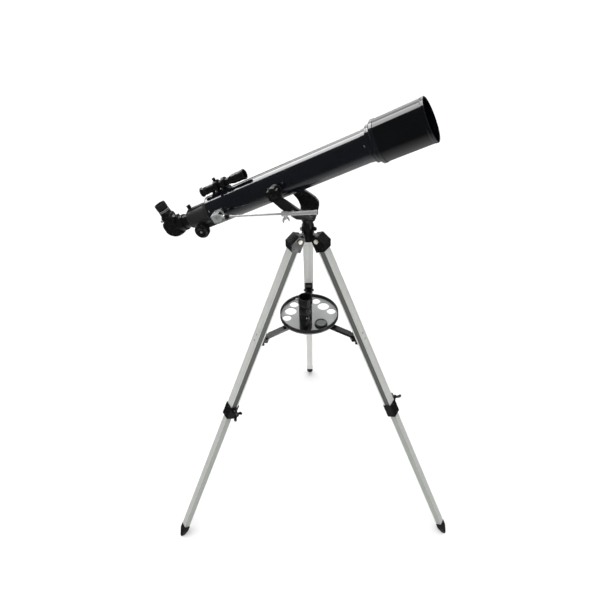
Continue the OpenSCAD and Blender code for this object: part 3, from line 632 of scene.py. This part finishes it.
def finder_details():
    axis = moved(TUBE, x=(span("finder_eyepiece", TUBE)[0].x + span("finder_eyepiece", TUBE)[1].x) / 2 / MM)
    rear, front = ends("finder_tube", TUBE)
    rings, grip = Maker(), Maker()
    rings.lathe(axis, [(10, front - 4), (12.5, front - 4), (12.9, front - 3), (12.9, front - 0.6),
                       (12.4, front + 0.3), (10.6, front + 0.3), (10, front - 0.5)], 56, closed=True)
    for along in (rear + 6, rear + 12, front - 22, front - 10):
        radius = 9.6 if along < rear + 20 else 11.5
        rings.lathe(axis, [(radius - 0.5, along), (radius + 0.3, along + 0.2), (radius + 0.5, along + 0.7),
                           (radius + 0.5, along + 2.1), (radius + 0.3, along + 2.6),
                           (radius - 0.5, along + 2.8)], 56,
                    closed=True)
    rings.make("finder_rings", "tube", "plastic", "black_plastic")
    back = ends("finder_eyepiece", TUBE)[0]
    grip.lathe(axis, [(8.6, back + 8.8), (9.5, back + 9), (10.1, back + 9.8, 0.5), (10.1, back + 18, 0.5),
                      (9.5, back + 18.8), (8.6, back + 19)], ribs=30, closed=True)
    grip.lathe(axis, [(9, back + 0.6), (11.7, back + 0.2), (12.3, back + 0.8), (12.2, back + 2),
                      (11.4, back + 2.4),
                      (9, back + 2.6)], 56, closed=True)
    grip.make("finder_eyepiece_grip", "finder_eyepiece", "rubber", "black_plastic")
    glass("finder_front_glass", "tube", axis, 10, front - 8, 1.2)
    glass("finder_rear_glass", "finder_eyepiece", turned_about(axis, 180, "Y"), 5.2, -back - 4, 0.6)


def mount_details():
    rods = Maker()
    for name, side in (("altitude_knob_near", 1), ("altitude_knob_far", -1)):
        cap = Maker()
        face = span(name, TUBE)[1 if side > 0 else 0].y / MM
        spot = outward(TUBE, 0, face, 0, (0, side, 0))
        cap.lathe(spot, [(7.6, -0.8), (7.6, 0.1), (7.0, 0.5), (5.4, 0.5), (5.0, 0.1), (4.6, -0.2),
                         (3.4, 0.2),
                         (1.6, 0.5), (0.2, 0.5)], 40)
        cap.make(name + "_cap", name, "plastic", "black_plastic")
    rod = frame_at(JOINTS["rod_nut_turn"]["pos_m"], JOINTS["rod_nut_turn"]["axis"], UP)
    nut_low, nut_high = ends("rod_adjust_nut", rod)
    for k in range(RIDGES):
        z = nut_high + 1 + k * RIDGE_STEP
        rods.lathe(rod, [(2.3, z), (2.75, z + 0.35), (2.75, z + 0.55), (2.3, z + 0.9)], 20, closed=True)
    rods.make("rod_thread", "control_rod", "chrome", "chrome")
    nut = Maker()
    nut.lathe(rod, [(5.2, nut_low + 0.2), (7.2, nut_low + 0.2), (7.9, nut_low + 0.9, 0.7),
                    (7.9, nut_low + 5.2, 0.7), (7.2, nut_low + 5.9), (5.2, nut_low + 6)], ribs=24,
              closed=True)
    nut.make("rod_nut_grip", "rod_nut", "plastic", "black_plastic")


def leg_details():
    for side in SIDES:
        where = LEGS[side]
        rivets, screws = Maker(), Maker()
        pin = where.inverted() @ Vector(JOINTS["brace_arm_tilt_" + side]["pos_m"])
        half = (span("brace_bracket_" + side, where)[1].y) / MM
        for face in (-1, 1):
            rivets.rivet(outward(where, pin.x / MM, face * half, pin.z / MM, (0, face, 0)), 3.4, 1.6)
            top_half = span("leg_top_" + side, where)[1].y / MM
            for x, z in ((9, -22), (-9, -25)):
                screws.screw(outward(where, x, face * top_half, z, (0, face, 0)), 2.0, 1.1)
        deep = span("upper_leg_" + side, where)[1].x / MM
        for z in (-292, -310):
            rivets.rivet(outward(where, deep, 0, z, (1, 0, 0)), 2.4, 0.9)
        low, high = span("leg_clamp_" + side, where)
        for z in (high.z / MM - 8, low.z / MM + 8):
            screws.screw(outward(where, high.x / MM, 0, z, (1, 0, 0)), 2.0, 1.1)
        screws.make("leg_screws_" + side, "leg_" + side, "dark_steel", "bolt_steel")
        rivets.make("leg_rivets_" + side, "leg_" + side, "steel", "bolt_steel")


focusing_knobs()
eyepiece()
diagonal()
barlow()
spare_eyepiece()
tube_details()
focuser_details()
finder_details()
mount_details()
leg_details()


# ---------- camera ----------
CAMERA_AT = Vector((-0.002, -1.281, 1.787))
LOOK_DOWN, LOOK_ASIDE, ROLL = math.radians(38.42), math.radians(-1.02), math.radians(-1.55)
FOCAL_SHARE = 0.990  # focal length over the frame's width


def make_camera():
    ahead = Vector((math.sin(LOOK_ASIDE) * math.cos(LOOK_DOWN), math.cos(LOOK_ASIDE) * math.cos(LOOK_DOWN),
                    -math.sin(LOOK_DOWN)))
    right = Vector((math.cos(LOOK_ASIDE), -math.sin(LOOK_ASIDE), 0))
    up = right.cross(ahead)
    tilted_right = right * math.cos(ROLL) + up * math.sin(ROLL)
    tilted_up = up * math.cos(ROLL) - right * math.sin(ROLL)
    data = bpy.data.cameras.new("camera")
    data.sensor_width = 36
    data.lens = 36 * FOCAL_SHARE
    data.clip_start, data.clip_end = 0.05, 50
    camera = bpy.data.objects.new("camera", data)
    turn = Matrix((tilted_right, tilted_up, -ahead)).transposed().to_4x4()
    camera.matrix_world = Matrix.Translation(CAMERA_AT) @ turn
    bpy.context.scene.collection.objects.link(camera)
    bpy.context.scene.camera = camera


# ---------- studio ----------
def lamp(name, kind, at, aim, energy, size=None, diffuse=True, glossy=True):
    data = bpy.data.lights.new(name, kind)
    data.energy = energy
    if size:
        data.shape = "RECTANGLE"
        data.size, data.size_y = size
    else:
        data.angle = math.radians(70)
    item = bpy.data.objects.new(name, data)
    item.location = at
    item.rotation_mode = "QUATERNION"
    item.rotation_quaternion = (Vector(aim) - Vector(at)).to_track_quat("-Z", "Y")
    item.visible_camera = False
    item.visible_diffuse = diffuse
    item.visible_glossy = glossy
    bpy.context.scene.collection.objects.link(item)
    return item


def make_world():
    """White to the camera, half as bright for diffuse light; in reflections pale below and dark elsewhere."""
    world = bpy.data.worlds.new("studio")
    bpy.context.scene.world = world
    world.use_nodes = True
    tree = world.node_tree
    path = tree.nodes.new("ShaderNodeLightPath")
    back = tree.nodes["Background"]
    back.inputs["Color"].default_value = (1, 1, 1, 1)
    place = tree.nodes.new("ShaderNodeTexCoord")
    parts = tree.nodes.new("ShaderNodeSeparateXYZ")
    tree.links.new(place.outputs["Generated"], parts.inputs[0])
    level = tree.nodes.new("ShaderNodeMapRange")
    for key, number in (("From Min", -1.0), ("From Max", -0.62), ("To Min", 0.8), ("To Max", 0.07)):
        level.inputs[key].default_value = number
    tree.links.new(parts.outputs[2], level.inputs["Value"])
    dim = tree.nodes.new("ShaderNodeMapRange")
    dim.inputs["To Min"].default_value = 0.5
    tree.links.new(level.outputs[0], dim.inputs["To Max"])
    tree.links.new(path.outputs["Is Glossy Ray"], dim.inputs["Value"])
    top = tree.nodes.new("ShaderNodeMath")
    top.operation = "MAXIMUM"
    tree.links.new(path.outputs["Is Camera Ray"], top.inputs[0])
    tree.links.new(dim.outputs[0], top.inputs[1])
    tree.links.new(top.outputs[0], back.inputs["Strength"])


def make_floor():
    mesh = bpy.data.meshes.new("floor")
    half, below = 14, -0.0004
    corners = [(x * half, y * half, below) for x, y in ((-1, -1), (1, -1), (1, 1), (-1, 1))]
    mesh.from_pydata(corners, [], [(0, 1, 2, 3)])
    floor = bpy.data.objects.new("floor", mesh)
    bpy.context.scene.collection.objects.link(floor)
    s = Shader("floor_paper", specular=0.0)
    mesh.materials.append(s.finish(s.mixed(s.between(s.noise(6, 3), 0, 1), grey(0.9), grey(0.93)), 0.9))
    floor.visible_glossy = False


make_camera()
bpy.context.scene.view_settings.view_transform = "Standard"
make_world()
make_floor()
lamp("overhead", "SUN", (-0.3, -0.4, 3.0), (0, 0, 0), 2.3, glossy=False)
lamp("back_panel", "AREA", (0.2, 2.4, 2.1), (0, 0, 1.1), 50, (4.5, 1.9), diffuse=False)
# Towards the panel that draws the tube's bright upper band
TOP_BAND = Vector((-0.6, 0.55, 0.57)).normalized()
top_at = Vector((0.25, 0, 1.35)) + 3 * TOP_BAND
top = lamp("top_panel", "AREA", top_at, (0, 0, 1.1), 95, (2.6, 1.7), diffuse=False)
top.rotation_quaternion = frame_at((0, 0, 0), TOP_BAND, (0.72, 0, 0.69)).to_quaternion()
lamp("front_fill", "AREA", (0.3, -2.6, 1.6), (0, 0, 0.8), 16, (2.6, 1.6), glossy=False)
lamp("front_strip", "AREA", (1.9, -1.6, 2.4), (0, 0, 0.9), 12, (0.25, 1.8), diffuse=False)
lamp("low_strip", "AREA", (1.68, -1.08, -0.5), (0, 0, 0.8), 14, (0.3, 1.8), diffuse=False)
